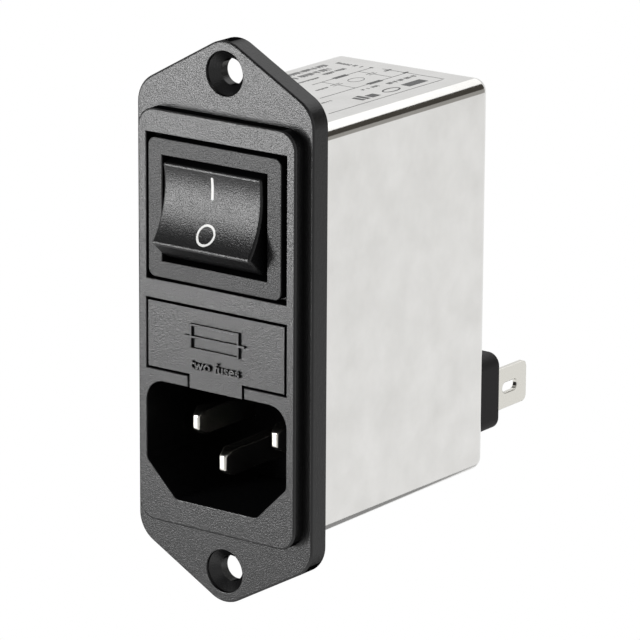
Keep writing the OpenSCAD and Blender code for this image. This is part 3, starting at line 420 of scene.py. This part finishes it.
def printed(rows):
    """Rows of x0, x1, y0, y1 (mm) as ink on the top of the can."""
    r = np.asarray(rows, float)
    level = np.broadcast_to(np.array([INK_LOW, INK_HIGH]), (len(r), 2))
    return bars(np.hstack([r, level]))


def words(across, start, end, tall, seed, turned=False):
    """A row of small print along Y, or along X if turned: upright strokes at an even pitch, some left out
    between words, their heights from a fixed random row."""
    pick = np.random.default_rng(seed)
    first = np.arange(start, end, PRINT_PITCH)
    first = first[pick.uniform(size=len(first)) > PRINT_GAPS]
    last = first + PRINT_STROKE
    low = np.full(len(first), across - tall / 2)
    high = across + tall * pick.uniform(*PRINT_TOPS, len(first))
    return np.stack([first, last, low, high] if turned else [low, high, first, last], -1)


# Bars as x0, x1, y0, y1
frame_lines = [(8.95 - FINE / 2, 8.95 + FINE / 2, 8.8, 36.4), (-2.0, 8.95 - FINE / 2, 36.8 - FINE, 36.8)]
diagram = [
    (-3.75, -3.63, 22.0, 27.2), (-4.10, -3.30, 27.2, 30.4), (-3.75, -3.63, 30.4, 36.2),
    (2.24, 2.36, 15.8, 27.3), (1.90, 2.70, 27.3, 30.5), (2.24, 2.36, 30.5, 36.6),
    (-3.63, -1.30, 24.2, 24.32), (-0.90, 2.24, 24.2, 24.32),
    (-1.42, -1.30, 23.2, 25.4), (-0.90, -0.78, 23.2, 25.4),
    (-3.63, -1.55, 33.1, 33.22), (-0.50, 2.24, 33.1, 33.22),
    (-1.67, -1.55, 32.2, 34.1), (-1.15, -1.03, 32.2, 34.1),
    (-1.03, -0.50, 33.1, 33.22), (-1.00, -0.60, 35.6, 37.2),
    (1.90, 2.30, 36.2, 37.4), (-4.00, -3.40, 36.2, 36.6),
]
blocks = [(6.2, 7.8, 29.8, 34.4), (5.8, 7.8, 18.5, 19.2), (5.6, 7.8, 19.6, 20.4), (6.3, 7.8, 20.9, 22.8)]
# Rows as across, start, end, height and seed
rows = [
    words(-9.85, 21.0, 33.8, 1.15, 3), words(-8.00, 22.0, 32.5, 1.25, 5),
    words(-5.80, 19.0, 27.0, 0.55, 7), words(-6.30, 28.4, 33.6, 0.90, 8),
    words(36.00, -9.6, -5.2, 0.95, 9, True), words(3.95, 23.3, 27.4, 0.70, 11),
    words(4.40, 29.2, 35.9, 0.90, 13), words(4.40, 13.4, 15.4, 0.50, 15),
    words(-1.00, 19.4, 22.6, 0.50, 17),
]
piece("label_frame", *printed(frame_lines), GREY_INK, "module")
piece("label_rows", *printed(np.vstack(rows)), GREY_INK, "module")
piece("label_diagram", *printed(diagram + blocks), GREY_INK, "module")
piece("label_choke", *ring(-0.75, 28.6, 0.95, 1.55, FINE, INK_LOW, INK_HIGH), GREY_INK, "module")
piece("label_oval", *ring(7.0, 26.4, 0.80, 1.75, 0.28, INK_LOW, INK_HIGH), GREY_INK, "module")


# Studio in metres: floor, two cards, sky and three lamps
def shown_ray(tree):
    """1 for rays that show the background: from the camera, in a mirror or through glass."""
    ray = add(tree, "LightPath")
    either = {"operation": "MAXIMUM"}
    seen = add(tree, "Math", either, {0: (ray, "Is Camera Ray"), 1: (ray, "Is Glossy Ray")})
    return add(tree, "Math", either, {0: (seen, 0), 1: (ray, "Is Transmission Ray")})


def stage_sheet(name, corners, material):
    """A flat stage piece through four corners given in metres."""
    mesh = bpy.data.meshes.new(name)
    mesh.from_pydata([tuple(c) for c in corners], [], [(0, 1, 2, 3)])
    mesh.materials.append(material)
    obj = set_up(name, mesh)
    return obj


FLOOR_Z = -0.35
FLOOR_HALF = 0.45
WHITE = (1, 1, 1, 1)

# Matt paper, pale: shown white by its own glow, less so under the part, where the shadow lies
paper = bpy.data.materials.new("paper_floor_white")
t = empty_tree(paper)
dull = add(t, "BsdfDiffuse", {"Color": tone("#e2e2e2")})
spot = (add(t, "TexCoord"), "Object")
reach = add(t, "VectorMath", {"operation": "DISTANCE", 1: (0, 0, FLOOR_Z)}, {0: spot})
depth = add(t, "SeparateXYZ", None, {"Vector": spot})
paler = add(t, "MapRange", {"From Min": 0.12, "From Max": 0.40, "To Min": 0.55, "To Max": 0.80},
            {"Value": (reach, "Value")})
# The far part of the floor glows for the camera only, so that the can's lower edge doesn't mirror it
straight_ray = add(t, "LightPath")
seen = add(t, "MapRange", {"From Min": 0.20, "From Max": 0.35},
           {"Value": (depth, "Y"), "To Min": (shown_ray(t), 0), "To Max": (straight_ray, "Is Camera Ray")})
part_seen = add(t, "Math", {"operation": "MULTIPLY"}, {0: (seen, 0), 1: (paler, 0)})
glow = add(t, "Emission", {"Color": WHITE}, {"Strength": (part_seen, 0)})
both = add(t, "AddShader", None, {0: (dull, 0), 1: (glow, 0)})
add(t, "OutputMaterial", None, {"Surface": (both, 0)})
floor_corners = [(x * FLOOR_HALF, y * FLOOR_HALF, FLOOR_Z) for x, y in ((-1, -1), (1, -1), (1, 1), (-1, 1))]
stage_sheet("floor", floor_corners, paper)

# Plan of the cards: their middle, and the way from it to their right edge
CARD_MIDDLE = np.array([0.26, 0.40])
CARD_SIDE = np.array([0.84, -0.545]) * 0.15


def card(name, colour, low, high):
    """An upright card behind the part on the right, hidden from the camera and seen in the can's rounding:
    its shade, and its lower and upper edge in metres."""
    shade = bpy.data.materials.new(name + "_shade")
    tree = empty_tree(shade)
    add(tree, "OutputMaterial", None, {"Surface": (add(tree, "Emission", {"Color": tone(colour)}), 0)})
    left = CARD_MIDDLE - CARD_SIDE
    right = CARD_MIDDLE + CARD_SIDE
    sheet = stage_sheet(name, [(*left, low), (*right, low), (*right, high), (*left, high)], shade)
    sheet.visible_camera = False


card("dark_card", "#4a4742", 0.085, 0.30)
card("grey_card", "#a8a6a2", -0.065, 0.085)

# Sky: white to the camera, low as a light, in mirrors dimmer straight above, high in front and at the right
SKY_LIGHT = 0.22
world = bpy.data.worlds.new("studio")
bpy.context.scene.world = world
t = empty_tree(world)
way = add(t, "SeparateXYZ", None, {"Vector": (add(t, "TexCoord"), "Generated")})
high_in_front = add(t, "Math", {"operation": "SUBTRACT"}, {0: (way, "Z"), 1: (way, "Y")})
right_in_front = add(t, "Math", {"operation": "SUBTRACT"}, {0: (way, "X"), 1: (way, "Y")})
upper = add(t, "MapRange", {"From Min": -0.10, "From Max": 0.25, "To Min": 1.0, "To Max": 0.85},
            {"Value": (way, "Z")})
zenith = add(t, "MapRange", {"From Min": 0.66, "From Max": 0.80, "To Max": 0.25},
             {"Value": (way, "Z"), "To Min": (upper, 0)})
ceiling = add(t, "MapRange", {"From Min": 0.75, "From Max": 1.05, "To Max": 0.17},
              {"Value": (high_in_front, 0), "To Min": (zenith, 0)})
dark_side = add(t, "MapRange", {"From Min": 0.90, "From Max": 1.25, "To Max": 0.60},
                {"Value": (right_in_front, 0), "To Min": (ceiling, 0)})
straight = add(t, "MapRange", {"To Max": 1.0},
               {"Value": (add(t, "LightPath"), "Is Camera Ray"), "To Min": (dark_side, 0)})
level = add(t, "MapRange", {"To Min": SKY_LIGHT}, {"Value": (shown_ray(t), 0), "To Max": (straight, 0)})
sky = add(t, "Background", {"Color": WHITE}, {"Strength": (level, 0)})
add(t, "OutputWorld", None, {"Surface": (sky, 0)})


def lamp(name, direction, distance, wide, tall, power):
    """An oblong soft lamp on a direction from the part, turned to it."""
    light = bpy.data.lights.new(name, "AREA")
    light.shape = "RECTANGLE"
    light.size = wide
    light.size_y = tall
    light.energy = power
    obj = set_up(name, light)
    toward = Vector(direction).normalized()
    obj.location = toward * distance
    obj.rotation_euler = toward.to_track_quat("Z", "Y").to_euler()


# Direction, then distance, width, height in metres and power in watts
lamp("key", (-0.209, -0.298, 0.034), 0.364, 0.06, 0.255, 1.25)
lamp("back", (-0.07, 0.77, 0.69), 0.90, 1.05, 0.50, 0.90)
lamp("top", (0.08, 0.50, 0.86), 0.50, 0.45, 0.35, 0.50)

# Camera, fitted to the photograph: focal length in pixels, angles in degrees, its place in millimetres
FOCAL = 4527.036
AZ = math.radians(36.450)
EL = math.radians(15.685)
ROLL = math.radians(0.3414)
RIGHT_MM = 11.417
UP_MM = 0.206
BACK_MM = 633.241
SENSOR_MM = 36.0
IMAGE_PX = 640
level_right = Vector((math.cos(AZ), math.sin(AZ), 0))
back = Vector((math.sin(AZ) * math.cos(EL), -math.cos(AZ) * math.cos(EL), math.sin(EL)))
level_up = back.cross(level_right)
right = level_right * math.cos(ROLL) + level_up * math.sin(ROLL)
up = level_up * math.cos(ROLL) - level_right * math.sin(ROLL)
lens = bpy.data.cameras.new("camera")
lens.sensor_width = SENSOR_MM
lens.lens = FOCAL * SENSOR_MM / IMAGE_PX
lens.clip_start = 0.01
lens.clip_end = 50.0
camera = set_up("camera", lens)
turn = Matrix((right, up, back)).transposed().to_4x4()
camera.matrix_world = Matrix.Translation((right * RIGHT_MM + up * UP_MM + back * BACK_MM) * MM) @ turn
bpy.context.scene.camera = camera
bpy.context.scene.view_settings.view_transform = "Standard"

# Bring the scene up to date
bpy.context.view_layer.update()
